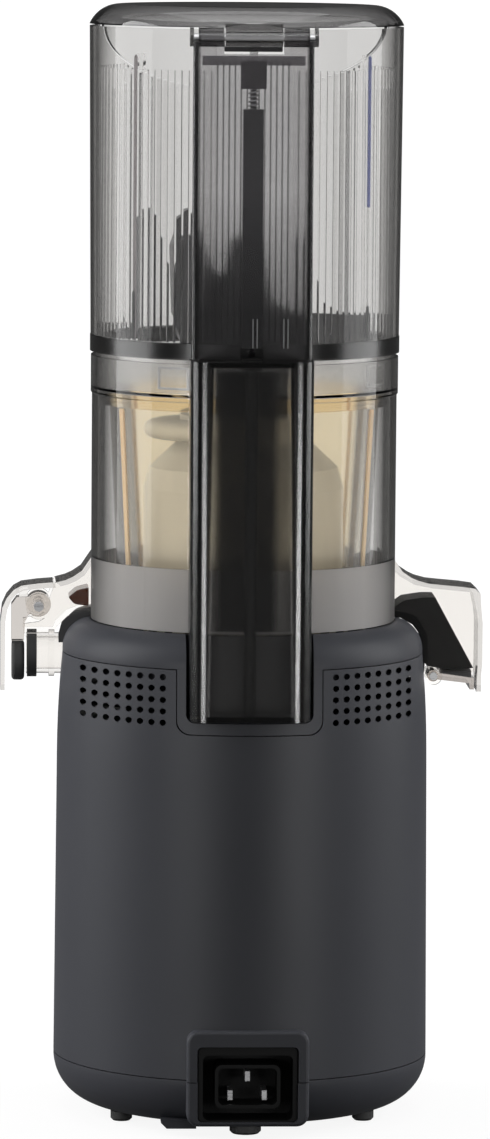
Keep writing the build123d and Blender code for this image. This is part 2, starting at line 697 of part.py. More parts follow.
def make_juice_cap():
    """The clear cover of the juice cap: a curved roof and an outer wall, between the cheeks."""
    low_y = SPOUT_Y - 10.6
    high_y = SPOUT_Y + 10.6
    outer = [
        (-78.9, 220.5), (-85.3, 220.0), (-92.0, 219.1), (-95.3, 217.3), (-98.2, 213.9), (-100.1, 209.7),
        (-SPOUT_REACH, 204.0), (-SPOUT_REACH, 175.2), (-99.0, 175.2), (-98.8, 204.0), (-98.0, 209.0),
        (-96.4, 212.8), (-94.2, 215.5), (-91.4, 217.0), (-85.3, 217.8), (-77.8, 218.3),
    ]
    cover = side_plate(outer, low_y, high_y)
    cover = cover & (rod_y(HOOD_SWING_RADIUS - 0.3, 0, 40, CAP_PIN_X, CAP_PIN_Z)
                     + block(-110, CAP_PIN_X - 5, 0, 40, 170, 225))
    stem = [(-93.0, 218.0), (-89.4, 218.4), (-89.4, 214.0), (-93.0, 213.8)]
    return cover + side_plate(stem, SPOUT_Y - 4.8, SPOUT_Y + 4.8)


def make_cap_arm():
    """The grey arm inside the cap, from its hub on the pin down to the seal."""
    outline = [
        (-81.0, 214.2), (-94.0, 213.6), (-96.2, 210.5), (-96.2, 195.3), (-90.8, 195.3),
        (-90.6, 203.0), (-88.8, 206.4), (-81.0, 207.0),
    ]
    arm = side_plate(outline, SPOUT_Y - 4.5, SPOUT_Y + 4.5)
    arm += rod_y(5.2, SPOUT_Y - 4.5, SPOUT_Y + 4.5, CAP_PIN_X, CAP_PIN_Z)
    return arm - rod_y(CAP_PIN_RADIUS + RUNNING_CLEARANCE, 0, 40, CAP_PIN_X, CAP_PIN_Z)


def make_cap_seal():
    """The dark plug that closes the juice spout."""
    plug = rod_x(8.4, -96.1, -90.7, SPOUT_Y, SPOUT_AXIS_Z - 3.0)
    plug = fillet(plug.edges(), 1.6)
    return plug + block(-96.0, -91.4, SPOUT_Y - 3, SPOUT_Y + 3, 193.0, 195.3)


def make_pulp_hood():
    """The clear shroud of the pulp outlet: roof, cheeks and a curved front wall, open below."""
    low_y = SPOUT_Y - 13.0
    high_y = SPOUT_Y + 13.0
    outline = hood_curve(1) + [
        (84.0, 220.0), (92.0, 219.3), (97.6, 218.5), (99.8, 216.4), (100.2, 210.0),
        (SPOUT_REACH, 204.0), (SPOUT_REACH, 187.0), (100.4, 182.6), (100.4, 175.2), (98.2, 175.2), (97.8, 183.4),
        (77.9, 183.4), (77.7, 199.4), (73.0, 206.6), (68.0, 208.6), (61.5, 208.6),
    ]
    inner = [(60.0, 229.0), (65.8, 223.6), (72.0, 220.0), (80.0, 218.4), (96.6, 216.8), (98.4, 209.0),
             (99.0, 204.0), (99.0, 187.0), (98.4, 170.0), (60.0, 170.0)]
    shroud = side_plate(outline, low_y, high_y) + rod_y(3.6, low_y, high_y, LEVER_PIN_X, LEVER_PIN_Z)
    shroud -= side_plate(inner, low_y + 1.8, high_y - 1.8)
    shroud -= rod_y(LEVER_PIN_RADIUS, 0, 40, LEVER_PIN_X, LEVER_PIN_Z)
    return shroud - disc(CHAMBER_RADIUS, 190, 240)


def make_pulp_chute():
    """The black nozzle that carries the pulp from the foot of the bowl down inside the shroud."""
    outline = [
        (62.0, 206.0), (62.0, 209.2), (68.0, 213.4), (76.0, 214.6), (81.0, 214.6), (97.2, 185.0),
        (90.0, 184.2),
        (84.6, 184.6), (77.8, 185.8), (75.4, 188.6), (75.4, 198.0), (71.4, 203.2), (66.4, 206.0),
    ]
    chute = side_plate(outline, SPOUT_Y - 10.8, SPOUT_Y + 10.8)
    chute += rod_x(SPOUT_OUTER, 58, 77, SPOUT_Y, SPOUT_AXIS_Z)
    way = [(60, 190), (82, 190), (89, 183), (94, 183), (84, 203), (80, 208.6), (76, 210.6), (74, 207), (79, 199)]
    chute -= side_plate(way, SPOUT_Y - 8.8, SPOUT_Y + 8.8)
    chute -= rod_x(SPOUT_INNER, 50, 84, SPOUT_Y, SPOUT_AXIS_Z)
    return (chute - disc(CHAMBER_FOOT_RADIUS, 150, 204)) - disc(CHAMBER_RADIUS, 200, 240)


def make_pulp_lever():
    """The flat lever that closes the pulp outlet from below."""
    outline = [
        (LEVER_PIN_X, 183.0), (97.6, 180.6), (97.6, 175.8), (95.8, 175.8), (95.6, 178.4), (LEVER_PIN_X, 180.2),
    ]
    low_y = SPOUT_Y - 10.6
    high_y = SPOUT_Y + 10.6
    lever = side_plate(outline, low_y, high_y) + rod_y(2.4, low_y, high_y, LEVER_PIN_X, LEVER_PIN_Z)
    return lever - rod_y(LEVER_PIN_RADIUS + RUNNING_CLEARANCE, 0, 40, LEVER_PIN_X, LEVER_PIN_Z)


def make_lever_seal():
    """The rubber pad on the pulp lever."""
    pad = [(84.4, 182.45), (96.6, 180.75), (96.6, 183.4), (84.4, 183.6)]
    return side_plate(pad, SPOUT_Y - 8.4, SPOUT_Y + 8.4)


# ---------------------------------------------------------------- auger and cutting wing

AUGER_BOTTOM = 188.0
AUGER_TOP = 292.0
FLIGHT_PITCH = 30.0
FLIGHT_TURNS = 3.5
FLIGHT_UPPER_FACE = 2.6
WING_REACH = 56.5


def make_auger():
    """The pressing screw: a hollow body with one flight, shallow below and deep round the narrow top."""
    core = turned([
        (0, AUGER_BOTTOM), (40.4, AUGER_BOTTOM), (42.0, 194), (41.4, 262), (39.0, 270.5), (33, 276), (27.6, 281),
        (26.6, AUGER_TOP), (0, AUGER_TOP),
    ])
    start_height = AUGER_TOP - FLIGHT_UPPER_FACE - FLIGHT_PITCH * FLIGHT_TURNS
    path = Pos(0, 0, start_height) * Helix(
        pitch=FLIGHT_PITCH, height=FLIGHT_PITCH * (FLIGHT_TURNS + 0.25), radius=32, lefthand=True)
    tooth = Polygon(
        (-6, -11), (4, -9), (11.3, -3.4), (11.3, 1.6), (10.3, FLIGHT_UPPER_FACE), (-6, FLIGHT_UPPER_FACE),
        align=None)
    section = Plane.XZ * Pos(32, start_height) * tooth
    flight = sweep(section, path=path, is_frenet=True) & slab(AUGER_BOTTOM, AUGER_TOP)
    cavity = turned([
        (0, 180), (27.5, 180), (27.5, 189), (36.4, 193), (35.6, 262), (30, 268), (17, 272), (16, 282), (0, 282),
    ])
    return core + flight - cavity


def make_auger_core():
    """The inner core: a flange and a post with the hexagonal socket for the drive shaft."""
    core = turned([
        (0, 190.2), (12.0, 190.2), (12.0, AUGER_BOTTOM + 0.2), (27.4, AUGER_BOTTOM + 0.2), (27.2, 191.0),
        (14.0, 193.0), (11.0, 210.0), (9.0, 282.0), (0, 282.0),
    ])
    socket = extrude(RegularPolygon(DRIVE_HEX_FLATS / 2 + 0.15, 6, major_radius=False), amount=20.0)
    return core - Pos(0, 0, 185) * socket


def wing_blade(points, half_thickness, turn):
    """One flat blade of the cutting wing, turned about the axis."""
    return Rot(0, 0, turn) * side_plate(points, -half_thickness, half_thickness)


def make_cutting_wing():
    """The dark cutting wing on top of the auger: a tapered hub, a tall fin and a low sweeping blade."""
    hub = turned([
        (0, AUGER_TOP), (20, AUGER_TOP), (22, 300), (17, 322), (10, 345), (6.5, 364), (4.5, 366), (0, 366),
    ])
    fin = [
        (0, 300), (0, 345), (14, 352), (21.5, 374), (24.5, 377.5), (29, 373), (31, 362), (30.5, 334),
        (26, 318), (20, 300),
    ]
    low = [(0, 300), (0, 345), (20, 334), (WING_REACH, 332), (WING_REACH, 322.5), (30, 316), (20, 300)]
    wing = hub + wing_blade(fin, 3.0, 186) + wing_blade(low, 2.6, 20)
    return wing


# ---------------------------------------------------------------- hopper

RING_TOP = 325.0
FLUTES = 120
COLUMN_PLATE = 1.6
COLUMN_SIDE = 2.0
EAR_INNER = 12.1
VISOR_HALF = 60.0
VISOR_DEPTH = 28.6
PLUNGER_Y = -63.7


def hopper_solid(inset):
    """The filled form of the hopper, moved inwards by inset."""
    return turned([
        (0, RING_TOP), (HOPPER_RADIUS - inset, RING_TOP), (HOPPER_TOP_RADIUS - inset, HOPPER_TOP), (0, HOPPER_TOP),
    ])


def visor_form(inset):
    """The half oval opening in the front of the hopper's top edge, as a block along Y."""
    oval = Plane.XZ * Pos(0, HOPPER_TOP) * Ellipse(VISOR_HALF - inset, VISOR_DEPTH - inset)
    return extrude(oval, amount=-90) & block(-90, 90, 8 + inset, 90, 400, HOPPER_TOP + 2)


def make_hopper_shell():
    """The tall clear hopper, with a flat wall in front of the plunger channel and an oval front opening."""
    shell = hopper_solid(0.0) - hopper_solid(HOPPER_WALL)
    shell -= block(-COLUMN_WINDOW_HALF, COLUMN_WINDOW_HALF, -80, -40, 300, 447)
    shell += block(-COLUMN_WINDOW_HALF - 0.4, COLUMN_WINDOW_HALF + 0.4, -CHANNEL_FRONT, -59.9, RING_TOP, 446)
    shell -= block(-EAR_INNER, EAR_INNER, -80, -61.5, 444.5, 460)
    shell -= rod_x(8.4, -2.6, 2.6, HINGE_Y, HINGE_Z)
    return shell - visor_form(0.0)


def make_hopper_liner():
    """The fluted sleeve inside the hopper, open at the back, with two slim ribs that steady the food."""
    outer = 61.6
    points = []
    for step in range(FLUTES):
        for radius, part_turn in ((60.3, 0.0), (60.3, 0.64), (60.9, 0.82)):
            angle = 2 * pi * (step + part_turn) / FLUTES
            points.append((radius * cos(angle), radius * sin(angle)))
    face = Circle(outer) - make_face(Polyline(*points, close=True))
    sleeve = Pos(0, 0, RING_TOP + 0.3) * extrude(face, amount=435.5 - RING_TOP)
    sleeve -= block(-16.5, 16.5, -80, -40, 300, 460) + visor_form(-0.5)
    for turn in (136, 29):
        sleeve += Rot(0, 0, turn) * block(57.8, 60.8, -1.2, 1.2, RING_TOP + 0.5, 440.0)
    return sleeve


def make_bayonet_ring():
    """The dark ring at the foot of the hopper that drops into the rim of the bowl."""
    collar = turned([
        (59.6, RING_FOOT), (61.4, RING_FOOT), (61.4, HOPPER_BOTTOM), (RING_RADIUS, HOPPER_BOTTOM),
        (RING_RADIUS, RING_TOP),
        (59.6, RING_TOP),
    ])
    return collar - block(-4.8, 4.8, -70, -61.2, 316, 330)


def make_rear_column():
    """The smoked channel up the back of the hopper, ending in the two hinge ears."""
    column = block(-COLUMN_HALF, COLUMN_HALF, -COLUMN_BACK, -50, 319.6, 448.0)
    column = fillet(column.edges().filter_by(Axis.Z).group_by(Axis.Y)[0], 1.2)
    inside = COLUMN_HALF - COLUMN_SIDE
    column -= block(-inside, inside, -COLUMN_BACK + COLUMN_PLATE, -40, 300, 460)
    for side in (-1, 1):
        column += rod_x(BARREL_RADIUS, side * EAR_INNER, side * inside, HINGE_Y, HINGE_Z)
    column -= block(-EAR_INNER, EAR_INNER, -80, -60, 442.8, 470)
    column -= rod_x(1.5, -40, 40, HINGE_Y, HINGE_Z)
    column -= block(-4.8, 4.8, -80, -50, 318, 324)
    column -= disc(RING_RADIUS, 300, RING_TOP)
    return column - hopper_solid(0.0) - disc(62.6, RING_TOP, 460)


def make_hinge_pin():
    """The steel pin of the lid hinge."""
    return rod_x(1.5, -24.6, 24.6, HINGE_Y, HINGE_Z)


def make_hinge_caps():
    """The two round caps on the ends of the hinge pin."""
    caps = []
    for side in (-1, 1):
        cap = rod_x(BARREL_RADIUS, side * COLUMN_HALF, side * (COLUMN_HALF + 1.6), HINGE_Y, HINGE_Z)
        cap -= rod_x(1.5, side * 20, side * 24.6, HINGE_Y, HINGE_Z)
        caps.append(cap.solid())
    return Compound(children=caps)


PLUNGER_TUBE_BOTTOM = 323.8
PLUNGER_TUBE_TOP = 420.6


def make_plunger_tube():
    """The black guide bar that the plunger's rod slides in."""
    bar = block(-4.1, 4.1, -65.8, -61.6, PLUNGER_TUBE_BOTTOM, PLUNGER_TUBE_TOP)
    return bar - disc(1.3 + RUNNING_CLEARANCE, 300, 440, 0, PLUNGER_Y)


def make_interlock_plunger():
    """The plunger that the lid presses: a wide T head, a stem and a thin rod down to the handle."""
    head = block(-20.8, 20.8, -65.8, -63.5, 438.3, 442.1)
    stem = block(-5.2, 5.2, -65.6, -61.8, 428.8, 440.0)
    return head + stem + disc(1.3, 320.2, 429, 0, PLUNGER_Y)


def make_plunger_spring():
    """The coil spring that lifts the plunger when the lid opens."""
    coil = Pos(0, PLUNGER_Y, 421.1) * Helix(pitch=1.7, height=7.0, radius=1.8)
    start = coil @ 0
    wire = Plane(origin=start, z_dir=coil % 0) * Circle(0.3)
    return sweep(wire, path=coil, is_frenet=True)


# ---------------------------------------------------------------- lid

def make_lid():
    """The smoked domed lid with its hinge knuckle and the rib under it that presses the plunger."""
    outer = [
        Line((0, LID_TOP), (50.0, LID_TOP)),
        ThreePointArc((50.0, LID_TOP), (60.2, 459.2), (65.0, LID_BOTTOM)),
        Line((65.0, LID_BOTTOM), (62.8, LID_BOTTOM)),
        ThreePointArc((62.8, LID_BOTTOM), (58.7, 457.4), (50.0, LID_TOP - 2.2)),
        Line((50.0, LID_TOP - 2.2), (0, LID_TOP - 2.2)),
        Line((0, LID_TOP - 2.2), (0, LID_TOP)),
    ]
    lid = revolve(Plane.XZ * make_face(outer), axis=Axis.Z)
    knuckle_half = EAR_INNER - 0.4
    knuckle = rod_x(BARREL_RADIUS, -knuckle_half, knuckle_half, HINGE_Y, HINGE_Z)
    knuckle += block(-knuckle_half, knuckle_half, -68.5, -61.8, HINGE_Z + 1, LID_BOTTOM + 1.6)
    latch = block(-1.7, 1.7, -65.4, -62.6, 442.4, 447.5)
    lid += knuckle + latch
    return lid - rod_x(1.5 + RUNNING_CLEARANCE, -40, 40, HINGE_Y, HINGE_Z)


def make_lid_visor():
    """The clear front apron of the lid that fills the oval opening of the hopper."""
    wall = hopper_solid(0.0) - hopper_solid(HOPPER_WALL)
    rim = ring(64.9, 62.9, HOPPER_TOP - 0.5, LID_BOTTOM) & block(-56, 56, 20, 90, 400, 460)
    return (wall & visor_form(0.5)) + rim


# ---------------------------------------------------------------- all the sub-parts

def make_all():
    """Every sub-part by its node name."""
    solid = base_envelope(0.0)
    hollow = base_envelope(SHELL_WALL)
    rear_cover, front_cover = make_shoulder_covers(solid, hollow)
    parts = {
        "body_shell": make_body_shell(solid, hollow),
        "rear_cover": rear_cover,
        "front_cover": front_cover,
        "bottom_pan": make_bottom_pan(solid, hollow),
        "dial_bezel": make_dial_bezel(solid),
    }
    makers = [
        make_well, make_feet, make_pan_screws, make_inlet_socket, make_inlet_pins, make_control_dial,
        make_dial_switch, make_interlock_switch, make_control_board, make_motor_can, make_stator,
        make_motor_bearings, make_rotor, make_rotor_shaft, make_cooling_fan,
        make_gearbox_case, make_gearbox_lid, make_idler_shaft, make_idler_gear, make_output_gear,
        make_drive_shaft, make_drive_bush, make_chassis_plate, make_chamber_bowl, make_chamber_skirt,
        make_chamber_handle, make_interlock_rod, make_shaft_seal, make_strainer,
        make_juice_spout, make_spout_ring, make_juice_hood, make_spout_saddle, make_spout_pins, make_juice_cap,
        make_cap_arm, make_cap_seal, make_pulp_hood, make_pulp_chute, make_pulp_lever,
        make_lever_seal, make_auger, make_auger_core, make_cutting_wing, make_hopper_shell,
        make_hopper_liner, make_bayonet_ring, make_rear_column, make_hinge_pin,
        make_hinge_caps, make_plunger_tube, make_interlock_plunger, make_plunger_spring, make_lid,
        make_lid_visor,
    ]
    for maker in makers:
        parts[maker.__name__.removeprefix("make_")] = maker()
    return parts


if __name__ == "__main__":
    os.makedirs("parts", exist_ok=True)
    for node, shape in make_all().items():
        save(node, shape)
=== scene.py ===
from math import cos, pi, radians, sin

import bmesh
import bpy
from mathutils import Matrix, Vector


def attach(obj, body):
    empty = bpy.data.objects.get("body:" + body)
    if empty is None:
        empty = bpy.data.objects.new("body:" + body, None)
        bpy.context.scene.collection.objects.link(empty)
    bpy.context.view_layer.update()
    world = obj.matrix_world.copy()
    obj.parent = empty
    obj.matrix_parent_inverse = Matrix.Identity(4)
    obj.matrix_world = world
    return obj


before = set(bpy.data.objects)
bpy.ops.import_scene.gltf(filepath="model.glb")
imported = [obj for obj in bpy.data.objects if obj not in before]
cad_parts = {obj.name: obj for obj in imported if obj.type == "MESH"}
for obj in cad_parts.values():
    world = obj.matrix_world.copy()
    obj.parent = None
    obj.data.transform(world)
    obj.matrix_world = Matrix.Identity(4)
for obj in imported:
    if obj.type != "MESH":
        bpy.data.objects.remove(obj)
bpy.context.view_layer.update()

# ---------------------------------------------------------------------------------------------
# The studio: a round white floor without an edge, tall soft boxes at both sides, one above and
# smaller ones in front. The low ones and the canopy only make highlights in glossy plastic.
# The camera is nearly level, a little to the left of the middle of the juicer's back.
# ---------------------------------------------------------------------------------------------
FRAME_HEIGHT_PIXELS = 1139
FOCAL_PIXELS = 6690
SENSOR_HEIGHT = 36.0
SIGHT_LIMIT = 60.0
CAMERA_DISTANCE = 2.787
CAMERA_AZIMUTH = radians(-2.6)
CAMERA_TILT = radians(5.97)
CAMERA_ROLL = radians(0.42)
CAMERA_TARGET = Vector((0.00085, 0.0, 0.2269))

camera_data = bpy.data.cameras.new("studio_camera")
camera_data.sensor_fit = "VERTICAL"
camera_data.sensor_height = SENSOR_HEIGHT
camera_data.lens = SENSOR_HEIGHT * FOCAL_PIXELS / FRAME_HEIGHT_PIXELS
camera_data.clip_end = SIGHT_LIMIT
camera = bpy.data.objects.new("studio_camera", camera_data)
bpy.context.scene.collection.objects.link(camera)
line_of_sight = Vector((
    sin(CAMERA_AZIMUTH) * cos(CAMERA_TILT),
    -cos(CAMERA_AZIMUTH) * cos(CAMERA_TILT),
    sin(CAMERA_TILT),
))
stand = Matrix.Translation(CAMERA_TARGET + CAMERA_DISTANCE * line_of_sight)
turn = line_of_sight.to_track_quat("Z", "Y").to_matrix().to_4x4()
camera.matrix_world = stand @ turn @ Matrix.Rotation(CAMERA_ROLL, 4, "Z")
bpy.context.scene.camera = camera
bpy.context.scene.view_settings.view_transform = "Standard"


def wire(tree, slot, value):
    """Links a socket to an input, or sets the input to a constant."""
    if isinstance(value, bpy.types.NodeSocket):
        tree.links.new(value, slot)
    else:
        slot.default_value = value


def node(tree, kind, **inputs):
    """Adds a node. Its inputs are named with _ for a space."""
    made = tree.nodes.new(kind)
    for name, value in inputs.items():
        wire(tree, made.inputs[name.replace("_", " ")], value)
    return made


def maths(tree, operation, *values):
    """The result of one Math node."""
    made = tree.nodes.new("ShaderNodeMath")
    made.operation = operation
    for slot, value in zip(made.inputs, values):
        wire(tree, slot, value)
    return made.outputs[0]


def place_of(tree):
    """The three object coordinates of the point being shaded."""
    where = node(tree, "ShaderNodeTexCoord")
    return node(tree, "ShaderNodeSeparateXYZ", Vector=where.outputs["Object"]).outputs


def fade(tree, value, start, end, at_start, at_end):
    """A value that goes from at_start to at_end while another goes from start to end."""
    return node(tree, "ShaderNodeMapRange", Value=value, From_Min=start, From_Max=end,
                To_Min=at_start, To_Max=at_end).outputs[0]


def new_object(name, mesh, material):
    """Turns a bmesh into an object in the scene."""
    data = bpy.data.meshes.new(name)
    mesh.to_mesh(data)
    mesh.free()
    data.materials.append(material)
    made = bpy.data.objects.new(name, data)
    bpy.context.scene.collection.objects.link(made)
    return made


FLOOR_RADIUS = 60.0
FLOOR_CORNERS = 64
PAPER_ALBEDO = 0.14
NEAR_GLOW = 0.90
FAR_GLOW = 1.0
NEAR_RADIUS = 0.35
FAR_RADIUS = 1.6
MIRRORED_PAPER = 0.05

white_paper = bpy.data.materials.new("white_paper")
white_paper.use_nodes = True
tree = white_paper.node_tree
tree.nodes.clear()
spot = place_of(tree)
square = maths(tree, "MULTIPLY_ADD", spot["X"], spot["X"], maths(tree, "MULTIPLY", spot["Y"], spot["Y"]))
bright = fade(tree, maths(tree, "SQRT", square), NEAR_RADIUS, FAR_RADIUS, NEAR_GLOW, FAR_GLOW)
seen = node(tree, "ShaderNodeLightPath").outputs
through = maths(tree, "MAXIMUM", seen["Is Camera Ray"], seen["Is Transmission Ray"])
mirrored = maths(tree, "MULTIPLY", seen["Is Glossy Ray"], MIRRORED_PAPER)
glow = node(tree, "ShaderNodeEmission", Strength=maths(tree, "MULTIPLY_ADD", through, bright, mirrored))
paper = node(tree, "ShaderNodeBsdfDiffuse", Color=(PAPER_ALBEDO, PAPER_ALBEDO, PAPER_ALBEDO, 1))
both = node(tree, "ShaderNodeAddShader")
wire(tree, both.inputs[0], paper.outputs[0])
wire(tree, both.inputs[1], glow.outputs[0])
node(tree, "ShaderNodeOutputMaterial", Surface=both.outputs[0])

floor_mesh = bmesh.new()
bmesh.ops.create_circle(floor_mesh, cap_ends=True, segments=FLOOR_CORNERS, radius=FLOOR_RADIUS)
new_object("floor", floor_mesh, white_paper)


def soft_box(name, place, target, width, height, power, only_mirrored):
    """A rectangular lamp that faces a target. One that is only mirrored makes highlights alone."""
    lamp = bpy.data.lights.new(name, "AREA")
    lamp.shape = "RECTANGLE"
    lamp.size = width
    lamp.size_y = height
    lamp.energy = power
    box = bpy.data.objects.new(name, lamp)
    box.visible_diffuse = not only_mirrored
    box.visible_transmission = False
    bpy.context.scene.collection.objects.link(box)
    away = Vector(place) - Vector(target)
    box.matrix_world = Matrix.Translation(place) @ away.to_track_quat("Z", "Y").to_matrix().to_4x4()


# Each box's name, place, target, width, height and power, and whether it is only mirrored.
for box in (
        ("left_box", (-2.0, 0.15, 0.8), (0, 0, 0.25), 1.5, 2.2, 57, False),
        ("right_box", (2.0, 0.15, 0.8), (0, 0, 0.25), 1.5, 2.2, 46, False),
        ("top_box", (0, 0.2, 2.4), (0, 0, 0.3), 1.8, 1.8, 14, False),
        ("front_top_box", (0, -3.0, 2.1), (0, 0, 0.45), 1.8, 0.40, 11, False),
        ("canopy", (0, -1.7, 2.0), (0, 0, 0.45), 1.6, 1.0, 11, True),
        ("low_left_box", (-0.64, -1.02, 0.108), (0, -0.08, 0.108), 0.50, 0.215, 5.4, True),
        ("low_right_box", (0.64, -1.02, 0.103), (0, -0.08, 0.103), 0.50, 0.205, 6.2, True)):
    soft_box(*box)

ROOM_LIGHT = 0.12
MIRRORED_ROOM = 0.45
MIRRORED_BACKDROP = 0.05
ROOM_ENDS = -0.3
BACKDROP_STARTS = 0.3
world = bpy.data.worlds.new("studio")
bpy.context.scene.world = world
world.use_nodes = True
tree = world.node_tree
direction = node(tree, "ShaderNodeTexCoord").outputs["Generated"]
backwards = node(tree, "ShaderNodeSeparateXYZ", Vector=direction).outputs["Y"]
mirrored = fade(tree, backwards, ROOM_ENDS, BACKDROP_STARTS, MIRRORED_ROOM, MIRRORED_BACKDROP)
seen = node(tree, "ShaderNodeLightPath").outputs
through = maths(tree, "MAXIMUM", seen["Is Camera Ray"], seen["Is Transmission Ray"])
reflected = maths(tree, "MULTIPLY", seen["Is Glossy Ray"], mirrored)
direct = maths(tree, "MULTIPLY", maths(tree, "SUBTRACT", 1.0, seen["Is Glossy Ray"]), ROOM_LIGHT)
backdrop = tree.nodes["Background"]
room = maths(tree, "ADD", reflected, direct)
wire(tree, backdrop.inputs["Strength"], maths(tree, "MAXIMUM", through, room))
backdrop.inputs["Color"].default_value = (1, 1, 1, 1)

# ---------------------------------------------------------------------------------------------
# The base: a round housing of moulded plastic with a satin, very finely sparked surface.
# Its rear and front top covers and the bottom pan are moulded in the same colour, and a black
# well lines the deck under the chamber.
# ---------------------------------------------------------------------------------------------
MOTTLE = 0.12
MOTTLE_SCALE = 22.0
SMUDGE = 0.10
FINE_GRAIN = 1600.0
GRAIN_DEPTH = 0.00003
GRAIN_STRENGTH = 0.35


def shader_group(name, inputs, outputs):
    """An empty shader node group with named sockets: (name, kind, value)."""
    group = bpy.data.node_groups.new(name, "ShaderNodeTree")
    for label, kind, value in inputs:
        group.interface.new_socket(label, in_out="INPUT", socket_type=kind).default_value = value
    for label, kind in outputs:
        group.interface.new_socket(label, in_out="OUTPUT", socket_type=kind)
    return group, group.nodes.new("NodeGroupInput").outputs, group.nodes.new("NodeGroupOutput").inputs


moulded_surface, given, result = shader_group(
    "moulded_surface",
    [("Colour", "NodeSocketColor", (0.5, 0.5, 0.5, 1)), ("Mottle", "NodeSocketFloat", MOTTLE),
     ("Grain", "NodeSocketFloat", FINE_GRAIN), ("Gloss", "NodeSocketFloat", 0.45),
     ("Smudge", "NodeSocketFloat", SMUDGE)],
    [("Colour", "NodeSocketColor"), ("Roughness", "NodeSocketFloat"), ("Height", "NodeSocketFloat")],
)
where = node(moulded_surface, "ShaderNodeTexCoord").outputs["Object"]
clouds = node(moulded_surface, "ShaderNodeTexNoise", Vector=where, Scale=MOTTLE_SCALE, Detail=3.0)
sparks = node(moulded_surface, "ShaderNodeTexNoise", Vector=where, Scale=given["Grain"], Detail=2.0)
centred = maths(moulded_surface, "SUBTRACT", clouds.outputs["Fac"], 0.5)
tinted = node(moulded_surface, "ShaderNodeVectorMath")
tinted.operation = "SCALE"
wire(moulded_surface, tinted.inputs[0], given["Colour"])
wire(moulded_surface, tinted.inputs["Scale"],
     maths(moulded_surface, "MULTIPLY_ADD", centred, given["Mottle"], 1.0))
wire(moulded_surface, result["Colour"], tinted.outputs[0])
wire(moulded_surface, result["Roughness"],
     maths(moulded_surface, "MULTIPLY_ADD", centred, given["Smudge"], given["Gloss"]))
wire(moulded_surface, result["Height"], sparks.outputs["Fac"])


def moulded(name, colour, roughness, grain=FINE_GRAIN, specular=0.5, passed=0.0):
    """Moulded plastic or rubber: a fine grain, slightly uneven colour and gloss.
    passed is the share of the light that goes through it."""
    material = bpy.data.materials.new(name)
    material.use_nodes = True
    tree = material.node_tree
    surface = tree.nodes.new("ShaderNodeGroup")
    surface.node_tree = moulded_surface
    for label, value in (("Colour", (*colour, 1)), ("Mottle", MOTTLE), ("Grain", grain),
                         ("Gloss", roughness), ("Smudge", SMUDGE)):
        surface.inputs[label].default_value = value
    bump = node(tree, "ShaderNodeBump", Strength=GRAIN_STRENGTH, Distance=GRAIN_DEPTH,
                Height=surface.outputs["Height"])
    shader = tree.nodes["Principled BSDF"]
    shader.inputs["Specular IOR Level"].default_value = specular
    shader.inputs["Transmission Weight"].default_value = passed
    wire(tree, shader.inputs["Base Color"], surface.outputs["Colour"])
    wire(tree, shader.inputs["Roughness"], surface.outputs["Roughness"])
    wire(tree, shader.inputs["Normal"], bump.outputs["Normal"])
    return material


def finish(material, *names):
    """Gives these pieces of the frame a material."""
    for name in names:
        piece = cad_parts[name]
        piece.data.materials.clear()
        piece.data.materials.append(material)


graphite = moulded("graphite_housing", (0.054, 0.056, 0.065), roughness=0.45, specular=0.14)
finish(graphite, "body_shell", "rear_cover", "front_cover", "bottom_pan")
black = moulded("black_moulding", (0.012, 0.012, 0.014), roughness=0.38)
finish(black, "well")

# ---------------------------------------------------------------------------------------------
# The underside and the mains inlet: six rubber feet in a ring, steel screws up into the pan, and
# a dull black inlet socket with three steel pins, set into the back of the housing.
# ---------------------------------------------------------------------------------------------
FIRST_COLOUR = 6
SECOND_COLOUR = 7
MIXED_COLOUR = 2
LINE_SCALE = 40.0
LINE_DEPTH = 0.00002
LINE_STRENGTH = 0.2
LINE_SHADE = 0.86
SMOOTHER = 0.08
ROUGHER = 0.12


def between(tree, factor, one, other):
    """A colour between two others."""
    mixed = node(tree, "ShaderNodeMix")
    mixed.data_type = "RGBA"
    wire(tree, mixed.inputs["Factor"], factor)
    mixed.inputs[FIRST_COLOUR].default_value = (*one, 1)
    mixed.inputs[SECOND_COLOUR].default_value = (*other, 1)
    return mixed.outputs[MIXED_COLOUR]


def metal(name, colour, roughness, stretch):
    """Machined metal: fine turning lines across the Z axis."""
    material = bpy.data.materials.new(name)
    material.use_nodes = True
    tree = material.node_tree
    where = node(tree, "ShaderNodeTexCoord").outputs["Object"]
    drawn = node(tree, "ShaderNodeMapping", Vector=where, Scale=(1, 1, stretch)).outputs[0]
    lines = node(tree, "ShaderNodeTexNoise", Vector=drawn, Scale=LINE_SCALE, Detail=4.0).outputs["Fac"]
    bump = node(tree, "ShaderNodeBump", Strength=LINE_STRENGTH, Distance=LINE_DEPTH, Height=lines)
    shader = tree.nodes["Principled BSDF"]
    shader.inputs["Metallic"].default_value = 1.0
    wire(tree, shader.inputs["Base Color"],
         between(tree, lines, [LINE_SHADE * part for part in colour], colour))
    wire(tree, shader.inputs["Roughness"],
         fade(tree, lines, 0.0, 1.0, roughness - SMOOTHER, roughness + ROUGHER))
    wire(tree, shader.inputs["Normal"], bump.outputs["Normal"])
    return material


rubber = moulded("dark_rubber", (0.018, 0.018, 0.019), roughness=0.7, grain=900.0)
finish(rubber, "feet")
steel = metal("turned_steel", (0.62, 0.62, 0.63), roughness=0.28, stretch=30)
finish(steel, "pan_screws", "inlet_pins")
inlet_black = moulded("inlet_moulding", (0.002, 0.002, 0.002), roughness=0.6, specular=0.10)
finish(inlet_black, "inlet_socket")

